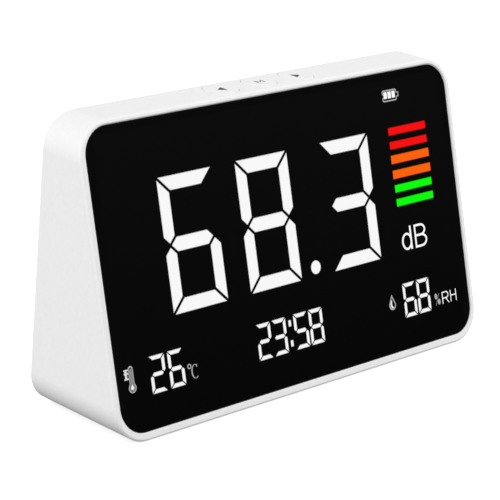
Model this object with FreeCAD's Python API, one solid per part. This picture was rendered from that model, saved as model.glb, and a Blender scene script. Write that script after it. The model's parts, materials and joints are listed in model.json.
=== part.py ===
import FreeCAD, Part
import math
import os
from collections import namedtuple

from FreeCAD import Placement, Rotation, Vector

# Desktop sound level meter: a white wedge-shaped case with a black display front that leans
# back, three push buttons on its top and a screwed rear cover. Millimetres, +Z up, the front
# looks along -Y, and the origin is on the ground under the middle of the case.

# ---------------------------------------------------------------- outer form
BODY_WIDTH = 150.0
BODY_HEIGHT = 86.0
TOP_DEPTH = 13.6
FRONT_LEAN = 15.2            # degrees that the front leans back
REAR_LEAN = 2.0              # degrees that the rear leans forward
CORNER_RADIUS = 10.0
FRONT_EDGE_ROUND = 0.7
REAR_EDGE_ROUND = 0.8
SHELL_WALL = 2.4
REAR_LIP = 2.0               # wall beside the rear cover

# ---------------------------------------------------------------- front panel and its seat
PANEL_SIDE_MARGIN = 2.1
PANEL_TOP_MARGIN = 1.6
PANEL_BOTTOM_MARGIN = 2.6
PANEL_CORNER_RADIUS = 8.0
PANEL_THICKNESS = 1.5
PANEL_RECESS = 0.25
PANEL_GAP = 0.1
PANEL_EDGE_BREAK = 0.15
RIM_BEVEL = 0.35
TAPE_THICKNESS = 0.25
TAPE_INSET = 0.2
LEDGE_THICKNESS = 1.5
LEDGE_SIDE = 1.6
LEDGE_BOTTOM = 7.0
LEDGE_TOP = 4.8

# ---------------------------------------------------------------- rubber feet
FOOT_DIAMETER = 9.0
FOOT_THICKNESS = 1.2
FOOT_PROUD = 0.4
FOOT_SIDE_INSET = 17.0
FOOT_END_INSET = 9.0
FOOT_CLEARANCE = 0.1
FOOT_EDGE_ROUND = 0.3

# ---------------------------------------------------------------- display layout, on the slope
MAIN_DIGIT_WIDTH = 20.95
MAIN_DIGIT_HEIGHT = 38.5
MAIN_DIGIT_STROKE = 4.15
MAIN_DIGIT_MITRE = 0.48
MAIN_DIGIT_PLACES = (122.45, 92.6, 58.3)     # left sides, in from the panel's right edge
MAIN_READING = "683"
MAIN_BASELINE = 29.5                         # above the panel's lower edge
DOT_DIAMETER = 4.15
DOT_PLACE = 65.5                             # centre, in from the panel's right edge
DOT_RISE = 2.75                              # dot centre above the baseline

SMALL_DIGIT_WIDTH = 5.8
SMALL_DIGIT_HEIGHT = 10.6
SMALL_DIGIT_STROKE = 1.25
SMALL_DIGIT_MITRE = 0.13
SMALL_BASELINE = 9.6
TEMPERATURE_PLACES = (12.0, 18.85)           # left sides, in from the panel's left edge
TEMPERATURE_READING = "26"
CLOCK_XS = (-19.65, -13.4, -4.5, 1.8)        # left sides
CLOCK_READING = "2358"
CLOCK_RISE = 0.25
COLON_X = -6.0                               # middle
COLON_WIDTH = 1.2
COLON_MARK_HEIGHT = 1.95
COLON_RISES = (1.4, 7.35)                    # lower edges above the clock's baseline
HUMIDITY_PLACES = (29.9, 23.6)               # left sides, in from the panel's right edge
HUMIDITY_READING = "68"

BAR_PLACE = 19.45                            # middle, in from the panel's right edge
BAR_WIDTH = 16.9
BAR_HEIGHT = 2.4
WIDE_BAR_WIDTH = 17.3
WIDE_BAR_HEIGHT = 2.7
GREEN_BAR_RISES = (45.0, 49.3)               # bar centres above the panel's lower edge
ORANGE_BAR_RISES = (53.65, 58.25)
RED_BAR_RISES = (62.55, 66.85)

LegendCell = namedtuple("LegendCell", "place rise width height")
LEFT_LEGENDS = (                             # cells behind the signs, placed from the left edge
    LegendCell(2.6, 11.2, 4.2, 8.2),
    LegendCell(25.2, 9.9, 4.8, 5.2),
)
RIGHT_LEGENDS = (                            # placed from the panel's right edge
    LegendCell(36.8, 12.8, 3.9, 5.0),
    LegendCell(16.1, 10.3, 10.7, 4.2),
    LegendCell(28.0, 29.6, 12.2, 7.9),
)
TOP_RIGHT_LEGEND = LegendCell(28.9, -9.1, 7.9, 3.8)    # placed from the upper right corner

# ---------------------------------------------------------------- display module
WINDOW_CLEARANCE = 0.04
DIFFUSER_DEPTH = 2.8
REFLECTOR_THICKNESS = 4.5
REFLECTOR_CLEARANCE = 0.3
REFLECTOR_BOTTOM = 7.4                       # lower edge above the panel's lower edge
REFLECTOR_DROP = 4.9                         # upper edge below the panel's upper edge
BOARD_THICKNESS = 1.6
BOARD_BOTTOM = 2.9
CORNER_NOTCH_GAP = 0.4
LED_LENGTH = 1.6
LED_WIDTH = 0.8
LED_HEIGHT = 0.7
LED_ROOM_SHARE = 0.7                         # of a narrow cavity's width
LONG_CAVITY = 10.0                           # a longer cavity has three lamps
CHIP_HEIGHT = 1.3
LOW_CHIPS = (                                # x, distance up the slope, width, height
    (-22.0, 44.0, 10.0, 10.0),
    (50.0, 24.0, 9.9, 3.9),
    (-30.0, 28.0, 3.2, 5.0),
)
HIGH_CHIPS = (                               # x, distance below the top, width, height
    (20.0, 23.1, 17.9, 7.5),
    (-6.0, 23.1, 17.9, 7.5),
)
DISPLAY_SCREW_X = 48.0
DISPLAY_SCREW_LOW = 4.6                      # above the panel's lower edge
DISPLAY_SCREW_DROP = 2.2                     # below the panel's upper edge
EAR_HALF_WIDTH = 4.5
EAR_MARGIN = 0.6

# ---------------------------------------------------------------- screws and bosses
ScrewStyle = namedtuple("ScrewStyle", "radius head_radius head arm slot recess")
BOARD_SCREW = ScrewStyle(radius=0.9, head_radius=1.7, head=1.1, arm=1.8, slot=0.5, recess=0.65)
COVER_SCREW = ScrewStyle(radius=1.2, head_radius=2.1, head=1.5, arm=2.2, slot=0.5, recess=0.9)
BOARD_BOSS_RADIUS = 2.4
BOARD_SCREW_LENGTH = 4.2
SCREW_HOLE_CLEARANCE = 0.2                   # shank to the hole of what it holds
SCREW_FIT = 0.05                             # shank to pilot hole
COVER_BOSS_RADIUS = 3.4
COVER_BOSS_OFFSET = 3.3                      # from the inner corner's centre, each way
COVER_SCREW_LENGTH = 9.0
COUNTERBORE_CLEARANCE = 0.25
COUNTERBORE_DEPTH = 1.9
PILOT_SPARE = 0.3                            # pilot hole beyond its screw
BOSS_ROOT = 0.4                              # how far a boss runs into the wall that carries it

# ---------------------------------------------------------------- rear cover
COVER_THICKNESS = 2.0
COVER_RECESS = 0.3
COVER_GAP = 0.15
COVER_PAD = 1.6                              # extra thickness at each screw
COVER_EDGE_BREAK = 0.25
USB_X = 0.0                                  # places on the cover as seen from behind
USB_RISE = 13.0
USB_WIDTH = 8.9
USB_HEIGHT = 3.2
USB_WALL = 0.35
USB_SETBACK = 0.5
USB_CLEARANCE = 0.3
USB_TONGUE_THICKNESS = 0.7
USB_TONGUE_WIDTH = 6.7
USB_TONGUE_SETBACK = 1.0
USB_BASE = 1.2
MIC_INSET = 27.0                             # from the side of the case
MIC_RISE = 60.0
MIC_PORT_RADIUS = 0.6
MIC_PORT_CIRCLE = 2.2
MIC_PORT_COUNT = 6
VENT_INSET = 25.0                            # from the side of the case
VENT_RISE = 16.5
VENT_COUNT = 6
VENT_PITCH = 2.4
VENT_WIDTH = 1.3
VENT_LENGTH = 12.0

# ---------------------------------------------------------------- boards behind the cover
POWER_BOARD = (32.0, 14.0)
POWER_BOARD_THICKNESS = 1.2
POWER_STANDOFF = 5.0
POWER_SCREW_SPACING = 25.0
CLIMATE_BOARD = (24.0, 9.0)
CLIMATE_BOARD_THICKNESS = 1.0
CLIMATE_STANDOFF = 2.6
CLIMATE_SCREW_SPACING = 19.0
SENSOR_SIZE = 3.0
SENSOR_HEIGHT = 1.1
SENSOR_PORT_RADIUS = 0.6
SHORT_SCREW_LENGTH = 3.2
POWER_CHIPS = (                              # x and rise from the socket, width, height, thickness
    (0.0, 3.4, 3.0, 3.0, 0.9),
    (0.0, -2.0, 4.0, 4.0, 1.9),
    (0.0, -5.6, 2.0, 1.2, 0.8),
)

# ---------------------------------------------------------------- battery
BATTERY_WIDTH = 50.0
BATTERY_HEIGHT = 34.0
BATTERY_THICKNESS = 6.0
BATTERY_ROUND = 2.5
BATTERY_INSET = 34.0                         # its middle from the side of the case
BATTERY_GAP = 1.5                            # above the power board
BATTERY_TAPE = 0.8
BATTERY_TAPE_INSET = 4.0
BATTERY_LEAD_DROP = 8.5                      # below the middle of the cell

# ---------------------------------------------------------------- microphone
CAPSULE_RADIUS = 4.85
CAPSULE_LENGTH = 6.0
BOOT_WALL = 0.6
BOOT_FLOOR = 0.8
BOOT_FIT = 0.05
COLLAR_WALL = 0.9
COLLAR_LENGTH = 4.5
MIC_PAD_DROP = 2.0
MIC_LEAD_EXIT = 1.8

# ---------------------------------------------------------------- buttons and their board
BUTTON_PITCH = 15.3
BUTTON_LAND = 1.5                            # strip of the top in front of and behind a button
BUTTON_GAP = 0.12
BUTTON_PROUD = 0.15
BUTTON_TRAVEL = 0.4
BUTTON_PLAY = 0.1                            # between the tab and the ceiling, and below full travel
BUTTON_SETBACK = 0.2                         # behind the middle of the top
BUTTON_DISC = 1.4
BUTTON_NECK_FLAT = 1.3                       # cut off the front and the back of the neck
BUTTON_TAB_REACH = 1.5                       # beyond the disc at each side
BUTTON_TAB_SETBACK = 2.1                     # inside the disc at front and back
BUTTON_TAB = 0.9
BUTTON_EDGE_ROUND = 0.25
PLUNGER_RADIUS = 1.1
PLUNGER_CLEARANCE = 0.1
PLUNGER_GAP = 0.05
SWITCH_SIZE = 4.6
SWITCH_HEIGHT = 1.6
SWITCH_LEG = 0.9
SWITCH_LEG_THICKNESS = 0.3
PLUNGER_PROUD = 0.55
PLUNGER_INSIDE = 0.8
KEY_BOARD_THICKNESS = 1.0
KEY_BOARD_CLEARANCE = 0.7                    # to the ledge and to the cover
KEY_BOARD_END = 13.2                         # beyond the outer buttons
KEY_SCREW_OUT = 9.6                          # beyond the outer buttons
KEY_SCREW_LENGTH = 3.2
KEY_BOSS_RADIUS = 2.1
KEY_LEAD_OUT = 5.1                           # beyond the next button
KEY_LEAD_EDGE = 1.6                          # from the rear edge of the key board

# ---------------------------------------------------------------- leads
LEAD_RADIUS = 0.8
LEAD_EXIT = 4.0
BEND_SHARE = 0.45
HEADER_WIDTH = 6.0
HEADER_LENGTH = 4.0
HEADER_HEIGHT = 3.0
PLUG_WIDTH = 5.2
PLUG_LENGTH = 3.4
PLUG_HEIGHT = 2.4
PLUG_LIFT = 0.3
POWER_HEADER_SIDE = 6.0                      # beside the socket
POWER_HEADER_RISE = 3.0                      # above the socket
CLIMATE_HEADER_RISE = 2.0                    # above the sensor
KEY_HEADER_X = 38.0
KEY_HEADER_DROP = 25.1                       # below the top of the front
FIXED_HEADERS = {                            # mouth's place on the display board, 1 up or -1 down
    "power": ((-4.0, 42.0), -1),
    "climate": ((-55.0, 44.0), -1),
    "microphone": ((-40.0, 34.0), 1),
}

# ---------------------------------------------------------------- worked out
LEAN = math.radians(FRONT_LEAN)
BACK_LEAN = math.radians(REAR_LEAN)
HALF_WIDTH = BODY_WIDTH / 2
BASE_DEPTH = TOP_DEPTH + BODY_HEIGHT * (math.tan(LEAN) + math.tan(BACK_LEAN))
BASE_Z = FOOT_PROUD
TOP_Z = BASE_Z + BODY_HEIGHT
SLOPE_LENGTH = BODY_HEIGHT / math.cos(LEAN)
PANEL_HALF = HALF_WIDTH - PANEL_SIDE_MARGIN
PANEL_LOW = PANEL_BOTTOM_MARGIN
PANEL_HIGH = SLOPE_LENGTH - PANEL_TOP_MARGIN
REFLECTOR_HIGH = PANEL_HIGH - REFLECTOR_DROP
PANEL_FRONT = -PANEL_RECESS
PANEL_BACK = PANEL_FRONT - PANEL_THICKNESS
SEAT = PANEL_BACK - TAPE_THICKNESS
LEDGE_BACK = SEAT - LEDGE_THICKNESS
BOARD_FRONT = PANEL_BACK - REFLECTOR_THICKNESS
BOARD_BACK = BOARD_FRONT - BOARD_THICKNESS
COVER_OUTSIDE = -COVER_RECESS
COVER_INSIDE = COVER_OUTSIDE - COVER_THICKNESS
PAD_INSIDE = COVER_INSIDE - COVER_PAD
INNER_RADIUS = CORNER_RADIUS - SHELL_WALL
CEILING_Z = TOP_Z - SHELL_WALL
FLOOR_Z = BASE_Z + SHELL_WALL
COVER_SCREW_X = HALF_WIDTH - SHELL_WALL - INNER_RADIUS + COVER_BOSS_OFFSET
COVER_SCREW_ZS = (
    FLOOR_Z + INNER_RADIUS - COVER_BOSS_OFFSET,
    CEILING_Z - INNER_RADIUS + COVER_BOSS_OFFSET,
)
MIC_X = HALF_WIDTH - MIC_INSET
VENT_X = HALF_WIDTH - VENT_INSET
BATTERY_X = BATTERY_INSET - HALF_WIDTH
BATTERY_RISE = USB_RISE + POWER_BOARD[1] / 2 + BATTERY_GAP + BATTERY_HEIGHT / 2
TOP_MIDDLE_Y = TOP_DEPTH / 2 + BODY_HEIGHT * math.tan(LEAN) - BASE_DEPTH / 2
BUTTON_Y = TOP_MIDDLE_Y + BUTTON_SETBACK
BUTTON_RADIUS = TOP_DEPTH / 2 - BUTTON_LAND
BUTTON_NECK_HALF = BUTTON_RADIUS - BUTTON_NECK_FLAT
BUTTON_TAB_HALF = BUTTON_RADIUS - BUTTON_TAB_SETBACK
BUTTON_TOP = TOP_Z + BUTTON_PROUD
BUTTON_FLOOR = BUTTON_TOP - BUTTON_DISC - BUTTON_TRAVEL - BUTTON_PLAY
BUTTON_TAB_TOP = CEILING_Z - BUTTON_PLAY
BUTTON_TAB_LOW = BUTTON_TAB_TOP - BUTTON_TAB
PLUNGER_TOP = BUTTON_TAB_LOW - PLUNGER_GAP
PLUNGER_LOW = PLUNGER_TOP - PLUNGER_PROUD - PLUNGER_INSIDE
KEY_BOARD_TOP = PLUNGER_TOP - PLUNGER_PROUD - SWITCH_HEIGHT
KEY_BOARD_LOW = KEY_BOARD_TOP - KEY_BOARD_THICKNESS
POWER_FACE = COVER_INSIDE - POWER_STANDOFF
CLIMATE_FACE = COVER_INSIDE - CLIMATE_STANDOFF
FAR = 2 * BODY_WIDTH         # longer than anything that it cuts or trims
PAST = 1.0                   # how far a cutting solid runs past what it cuts
TOUCH = 1e-4                 # closer than this is the same place
PROBES = 5                   # points along an edge that show whether it lies in a plane
SMALLEST_CORNER = 0.5

# Two sloped frames. On the front, x runs right, y up the slope and z out of the panel. On the
# rear, x runs right as seen from behind, y up the cover and z out of it.
FRONT = Placement(
    Vector(0, -BASE_DEPTH / 2, BASE_Z),
    Rotation(Vector(1, 0, 0), 90 - FRONT_LEAN),
)
REAR = Placement(
    Vector(0, BASE_DEPTH / 2, BASE_Z),
    Rotation(Vector(0, 0, 1), 180).multiply(Rotation(Vector(1, 0, 0), 90 - REAR_LEAN)),
)

DISPLAY_HEADERS = {
    **FIXED_HEADERS,
    "keys": ((KEY_HEADER_X, SLOPE_LENGTH - KEY_HEADER_DROP), 1),
}
POWER_BACK = POWER_FACE - POWER_BOARD_THICKNESS
CLIMATE_BACK = CLIMATE_FACE - CLIMATE_BOARD_THICKNESS
REAR_HEADERS = {                             # mouth's place, 1 up or -1 down, board face
    "battery": ((USB_X - POWER_HEADER_SIDE, USB_RISE + POWER_HEADER_RISE), 1, POWER_BACK),
    "power": ((USB_X + POWER_HEADER_SIDE, USB_RISE + POWER_HEADER_RISE), 1, POWER_BACK),
    "climate": ((VENT_X, VENT_RISE + CLIMATE_HEADER_RISE), 1, CLIMATE_BACK),
}

DigitStyle = namedtuple("DigitStyle", "width height stroke mitre")
MAIN_STYLE = DigitStyle(MAIN_DIGIT_WIDTH, MAIN_DIGIT_HEIGHT, MAIN_DIGIT_STROKE, MAIN_DIGIT_MITRE)
SMALL_STYLE = DigitStyle(
    SMALL_DIGIT_WIDTH, SMALL_DIGIT_HEIGHT, SMALL_DIGIT_STROKE, SMALL_DIGIT_MITRE
)
SEGMENTS_OF = {
    "0": "abcdef", "1": "bc", "2": "abged", "3": "abgcd", "4": "fgbc",
    "5": "afgcd", "6": "afgedc", "7": "abc", "8": "abcdefg", "9": "abcdfg",
}
ALL_SEGMENTS = "abcdefg"


# ---------------------------------------------------------------- small helpers
def on_front(shape):
    return shape.transformed(FRONT.toMatrix())


def on_rear(shape):
    return shape.transformed(REAR.toMatrix())


def block(x0, x1, y0, y1, z0, z1):
    return Part.makeBox(x1 - x0, y1 - y0, z1 - z0, Vector(x0, y0, z0))


def plate_at(x, y, width, height, z0, z1):
    return block(x - width / 2, x + width / 2, y - height / 2, y + height / 2, z0, z1)


def rod(x, y, radius, z0, z1):
    return Part.makeCylinder(radius, z1 - z0, Vector(x, y, z0), Vector(0, 0, 1))


def y_rod(x, z, radius, y0, y1):
    return Part.makeCylinder(radius, y1 - y0, Vector(x, y0, z), Vector(0, 1, 0))


def polygon_prism(points, z0, z1):
    corners = [Vector(x, y, z0) for x, y in points]
    face = Part.Face(Part.makePolygon(corners + corners[:1]))
    return face.extrude(Vector(0, 0, z1 - z0))


def rounded_wire(x0, x1, y0, y1, radius):
    """A rectangle with round corners in the XY plane."""
    arcs = (
        (x1 - radius, y1 - radius, 0),
        (x0 + radius, y1 - radius, 90),
        (x0 + radius, y0 + radius, 180),
        (x1 - radius, y0 + radius, 270),
    )
    corners = []
    for x, y, start in arcs:
        circle = Part.Circle(Vector(x, y, 0), Vector(0, 0, 1), radius)
        corners.append(circle.toShape(math.radians(start), math.radians(start + 90)))
    edges = []
    for corner, following in zip(corners, corners[1:] + corners[:1]):
        edges.append(corner)
        side_start, side_end = corner.lastVertex().Point, following.firstVertex().Point
        if (side_end - side_start).Length > TOUCH:
            edges.append(Part.makeLine(side_start, side_end))
    return Part.Wire(edges)


def rounded_prism(x0, x1, y0, y1, radius, z0, z1):
    face = Part.Face(rounded_wire(x0, x1, y0, y1, radius))
    face.translate(Vector(0, 0, z0))
    return face.extrude(Vector(0, 0, z1 - z0))


def joined(shapes):
    first, rest = shapes[0], shapes[1:]
    return first.fuse(rest).removeSplitter() if rest else first


def without(shape, tools):
    return shape.cut(Part.makeCompound(tools))


def edges_at(shape, height):
    """Edges that lie level at a height."""
    return [
        edge
        for edge in shape.Edges
        if abs(edge.BoundBox.ZMin - height) < TOUCH and abs(edge.BoundBox.ZMax - height) < TOUCH
    ]


def screw(x, y, style, length, seat, outward):
    """A screw whose head sits at `seat`, with its shank the other way from `outward`."""
    head_end = seat + outward * style.head
    shank = rod(x, y, style.radius, *sorted((seat, seat - outward * length)))
    head = rod(x, y, style.head_radius, *sorted((seat, head_end)))
    low, high = sorted((head_end, head_end - outward * style.recess))
    cross = [
        plate_at(x, y, style.arm, style.slot, low, high),
        plate_at(x, y, style.slot, style.arm, low, high),
    ]
    return without(joined([shank, head]), cross)


def screw_pilot(x, y, style, z0, z1):
    """The hole that a screw cuts its thread in."""
    return rod(x, y, style.radius + SCREW_FIT, z0, z1)


def screw_hole(x, y, style, z0, z1):
    """The wider hole through what a screw holds."""
    return rod(x, y, style.radius + SCREW_HOLE_CLEARANCE, z0, z1)


# ---------------------------------------------------------------- the case's own planes
def front_line(depth):
    """Y of the plane that lies `depth` behind the front, at a height."""
    def line(z):
        return -BASE_DEPTH / 2 + (z - BASE_Z) * math.tan(LEAN) + depth / math.cos(LEAN)
    return line


def rear_line(depth):
    """Y of the plane that lies `depth` in front of the rear, at a height."""
    def line(z):
        return BASE_DEPTH / 2 - (z - BASE_Z) * math.tan(BACK_LEAN) - depth / math.cos(BACK_LEAN)
    return line


def far_behind(z):
    return FAR


def between(front, rear):
    """Everything from one sloped plane back to another."""
    low, high = BASE_Z - CORNER_RADIUS, TOP_Z + CORNER_RADIUS
    corners = [(front(low), low), (rear(low), low), (rear(high), high), (front(high), high)]
    points = [Vector(-FAR / 2, y, z) for y, z in corners]
    return Part.Face(Part.makePolygon(points + points[:1])).extrude(Vector(FAR, 0, 0))


def case_section(inset):
    """The rounded front view of the case, drawn in by `inset` and run along Y."""
    half = HALF_WIDTH - inset
    radius = max(CORNER_RADIUS - inset, SMALLEST_CORNER)
    prism = rounded_prism(
        -half, half, BASE_Z + inset, TOP_Z - inset, radius, -FAR / 2, FAR / 2
    )
    prism.rotate(Vector(0, 0, 0), Vector(1, 0, 0), 90)
    return prism


def case_form(inset, front, rear):
    return case_section(inset).common(between(front, rear))


def key_board_span():
    """Front and rear edge of the key board, between the panel's ledge and the rear cover."""
    front = front_line(-LEDGE_BACK)(KEY_BOARD_TOP) + KEY_BOARD_CLEARANCE
    rear = rear_line(-COVER_INSIDE)(KEY_BOARD_TOP) - KEY_BOARD_CLEARANCE
    return front, rear


# ---------------------------------------------------------------- display outlines
def segment_outlines(style, x, y):
    """The seven outlines of a digit whose lower left corner is at x, y."""
    w, h, t, c = style
    middle = h / 2
    top = [(c, h), (w - c, h), (w - c - t, h - t), (c + t, h - t)]
    upper_left = [
        (0, h - c), (t, h - c - t), (t, middle + c + t / 2), (t / 2, middle + c),
        (0, middle + c + t / 2),
    ]
    bar = [
        (t / 2 + c, middle), (t + c, middle + t / 2), (w - t - c, middle + t / 2),
        (w - t / 2 - c, middle), (w - t - c, middle - t / 2), (t + c, middle - t / 2),
    ]
    outlines = {
        "a": top,
        "f": upper_left,
        "g": bar,
        "b": [(w - px, py) for px, py in upper_left],
        "e": [(px, h - py) for px, py in upper_left],
        "c": [(w - px, h - py) for px, py in upper_left],
        "d": [(px, h - py) for px, py in top],
    }
    return {name: [(x + px, y + py) for px, py in points] for name, points in outlines.items()}


def drawn_in(style, gap):
    """The same digit with every outline drawn in by a gap."""
    return DigitStyle(
        style.width - 2 * gap,
        style.height - 2 * gap,
        style.stroke - 2 * gap,
        style.mitre + math.sqrt(2) * gap,
    )


def digit_row(style, xs, rise, reading, gap, z0, z1, lit_only):
    """Prisms of the segments of a row of digits."""
    prisms = []
    for x, digit in zip(xs, reading):
        outlines = segment_outlines(drawn_in(style, gap), x + gap, PANEL_LOW + rise + gap)
        for name in SEGMENTS_OF[digit] if lit_only else ALL_SEGMENTS:
            prisms.append(polygon_prism(outlines[name], z0, z1))
    return prisms


def level_bars(rises, width, height, gap, z0, z1):
    x = PANEL_HALF - BAR_PLACE
    return [
        plate_at(x, PANEL_LOW + rise, width - 2 * gap, height - 2 * gap, z0, z1) for rise in rises
    ]


def from_left(places):
    return [place - PANEL_HALF for place in places]


def from_right(places):
    return [PANEL_HALF - place for place in places]


def legend_cells():
    """Lower left corner, width and height of the cell behind each backlit sign."""
    cells = [
        (x, PANEL_LOW + cell.rise, cell.width, cell.height)
        for cell, x in zip(LEFT_LEGENDS, from_left([cell.place for cell in LEFT_LEGENDS]))
    ]
    cells += [
        (x, PANEL_LOW + cell.rise, cell.width, cell.height)
        for cell, x in zip(RIGHT_LEGENDS, from_right([cell.place for cell in RIGHT_LEGENDS]))
    ]
    corner = TOP_RIGHT_LEGEND
    cells.append(
        (PANEL_HALF - corner.place, PANEL_HIGH + corner.rise, corner.width, corner.height)
    )
    return cells


def display_prisms(gap, z0, z1, lit_only):
    """Every lit shape of the display, grouped by the diffuser that shows it."""
    dot_y = PANEL_LOW + MAIN_BASELINE + DOT_RISE
    clock_rise = SMALL_BASELINE + CLOCK_RISE
    colon = [
        plate_at(
            COLON_X,
            PANEL_LOW + clock_rise + rise + COLON_MARK_HEIGHT / 2,
            COLON_WIDTH - 2 * gap,
            COLON_MARK_HEIGHT - 2 * gap,
            z0,
            z1,
        )
        for rise in COLON_RISES
    ]
    small = (gap, z0, z1, lit_only)
    return {
        "main_digit_diffusers": digit_row(
            MAIN_STYLE, from_right(MAIN_DIGIT_PLACES), MAIN_BASELINE, MAIN_READING, *small
        ),
        "decimal_point_diffuser": [
            rod(PANEL_HALF - DOT_PLACE, dot_y, DOT_DIAMETER / 2 - gap, z0, z1)
        ],
        "green_level_diffusers": level_bars(
            GREEN_BAR_RISES, BAR_WIDTH, BAR_HEIGHT, gap, z0, z1
        ),
        "orange_level_diffusers": level_bars(
            ORANGE_BAR_RISES, WIDE_BAR_WIDTH, WIDE_BAR_HEIGHT, gap, z0, z1
        ),
        "red_level_diffusers": level_bars(
            RED_BAR_RISES, BAR_WIDTH, BAR_HEIGHT, gap, z0, z1
        ),
        "temperature_diffusers": digit_row(
            SMALL_STYLE, from_left(TEMPERATURE_PLACES), SMALL_BASELINE, TEMPERATURE_READING, *small
        ),
        "clock_diffusers": digit_row(
            SMALL_STYLE, CLOCK_XS, clock_rise, CLOCK_READING, *small
        ) + colon,
        "humidity_diffusers": digit_row(
            SMALL_STYLE, from_right(HUMIDITY_PLACES), SMALL_BASELINE, HUMIDITY_READING, *small
        ),
    }


# ---------------------------------------------------------------- front panel and display module
def panel_prism(grow, z0, z1):
    return rounded_prism(
        -PANEL_HALF - grow,
        PANEL_HALF + grow,
        PANEL_LOW - grow,
        PANEL_HIGH + grow,
        PANEL_CORNER_RADIUS + grow,
        z0,
        z1,
    )


def ledge_opening(grow, z0, z1):
    return block(
        -PANEL_HALF + LEDGE_SIDE - grow,
        PANEL_HALF - LEDGE_SIDE + grow,
        PANEL_LOW + LEDGE_BOTTOM - grow,
        PANEL_HIGH - LEDGE_TOP + grow,
        z0,
        z1,
    )


def front_panel():
    plate = panel_prism(0, PANEL_BACK, PANEL_FRONT)
    plate = plate.makeChamfer(PANEL_EDGE_BREAK, edges_at(plate, PANEL_FRONT))
    groups = display_prisms(0, PANEL_BACK - PAST, PANEL_FRONT + PAST, True)
    windows = [prism for prisms in groups.values() for prism in prisms]
    return on_front(without(plate, windows))


def panel_tape():
    frame = panel_prism(-TAPE_INSET, SEAT, PANEL_BACK)
    return on_front(frame.cut(ledge_opening(TAPE_INSET, SEAT - PAST, PANEL_BACK + PAST)))


def diffusers():
    groups = display_prisms(WINDOW_CLEARANCE, PANEL_FRONT - DIFFUSER_DEPTH, PANEL_FRONT, True)
    return {name: on_front(Part.makeCompound(prisms)) for name, prisms in groups.items()}


def slope_at(z, depth):
    """Distance up the slope where a plane `depth` behind the front reaches a height."""
    return (z - BASE_Z + depth * math.sin(LEAN)) / math.cos(LEAN)


def corner_notches(z0, z1):
    """Room for the cover's bosses at the corners of the display module."""
    inner = COVER_SCREW_X - COVER_BOSS_RADIUS - CORNER_NOTCH_GAP
    reach = COVER_BOSS_RADIUS + CORNER_NOTCH_GAP
    low = slope_at(COVER_SCREW_ZS[0] + reach, -BOARD_BACK)
    high = slope_at(COVER_SCREW_ZS[1] - reach, -PANEL_BACK)
    notches = []
    for x0, x1 in ((-FAR, -inner), (inner, FAR)):
        notches.append(block(x0, x1, -FAR, low, z0, z1))
        notches.append(block(x0, x1, high, FAR, z0, z1))
    return notches


def reflector_housing():
    half = PANEL_HALF - LEDGE_SIDE - REFLECTOR_CLEARANCE
    low = PANEL_LOW + REFLECTOR_BOTTOM
    body = block(-half, half, low, REFLECTOR_HIGH, BOARD_FRONT, PANEL_BACK)
    groups = display_prisms(0, BOARD_FRONT - PAST, PANEL_BACK + PAST, False)
    cavities = [prism for prisms in groups.values() for prism in prisms]
    for x, y, width, height in legend_cells():
        cavities.append(block(x, x + width, y, y + height, BOARD_FRONT - PAST, PANEL_BACK + PAST))
    notches = corner_notches(BOARD_FRONT - PAST, PANEL_BACK + PAST)
    return on_front(without(body, notches + cavities))


def display_screw_places():
    """The display module's four screws, in the front frame."""
    low = PANEL_LOW + DISPLAY_SCREW_LOW
    high = PANEL_HIGH - DISPLAY_SCREW_DROP
    return [(side * DISPLAY_SCREW_X, y) for side in (-1, 1) for y in (low, high)]


def display_board():
    half = PANEL_HALF - LEDGE_SIDE - REFLECTOR_CLEARANCE
    board = block(
        -half, half, PANEL_LOW + BOARD_BOTTOM, REFLECTOR_HIGH, BOARD_BACK, BOARD_FRONT
    )
    ears = [
        block(
            side * DISPLAY_SCREW_X - EAR_HALF_WIDTH,
            side * DISPLAY_SCREW_X + EAR_HALF_WIDTH,
            REFLECTOR_HIGH - EAR_HALF_WIDTH,
            PANEL_HIGH + EAR_MARGIN,
            BOARD_BACK,
            BOARD_FRONT,
        )
        for side in (-1, 1)
    ]
    low, high = BOARD_BACK - PAST, BOARD_FRONT + PAST
    holes = [screw_hole(x, y, BOARD_SCREW, low, high) for x, y in display_screw_places()]
    return on_front(without(joined([board] + ears), corner_notches(low, high) + holes))


def display_screws():
    screws = [
        screw(x, y, BOARD_SCREW, BOARD_SCREW_LENGTH, BOARD_BACK, -1)
        for x, y in display_screw_places()
    ]
    return on_front(Part.makeCompound(screws))


def led_row(x, y, width, height):
    """The lamps of a cavity: three along a long one, or one in the middle of a short one."""
    long_side = max(width, height)
    steps = (-1, 0, 1) if long_side > LONG_CAVITY else (0,)
    spacing = long_side / (len(steps) + 1)
    lamp = (LED_LENGTH, min(LED_WIDTH, LED_ROOM_SHARE * min(width, height)))
    lamps = []
    for step in steps:
        if width > height:
            place = (x + step * spacing, y, lamp[0], lamp[1])
        else:
            place = (x, y + step * spacing, lamp[1], lamp[0])
        lamps.append(plate_at(*place, BOARD_FRONT, BOARD_FRONT + LED_HEIGHT))
    return lamps


def display_leds():
    lamps = []
    for prisms in display_prisms(0, BOARD_FRONT, PANEL_BACK, False).values():
        for prism in prisms:
            box = prism.BoundBox
            lamps += led_row(box.Center.x, box.Center.y, box.XLength, box.YLength)
    for x, y, width, height in legend_cells():
        lamps += led_row(x + width / 2, y + height / 2, width, height)
    return on_front(Part.makeCompound(lamps))


# ---------------------------------------------------------------- boards' chips, headers and plugs
def display_chips():
    places = LOW_CHIPS + tuple((x, SLOPE_LENGTH - y, *size) for x, y, *size in HIGH_CHIPS)
    chips = [plate_at(*place, BOARD_BACK - CHIP_HEIGHT, BOARD_BACK) for place in places]
    return on_front(Part.makeCompound(chips))


def header(place, mouth, face):
    """A header that stands on a board's inner face, with its mouth at `place`, facing up or down."""
    x, y = place
    body = sorted((y, y - mouth * HEADER_LENGTH))
    return block(
        x - HEADER_WIDTH / 2, x + HEADER_WIDTH / 2, body[0], body[1], face - HEADER_HEIGHT, face
    )


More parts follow.
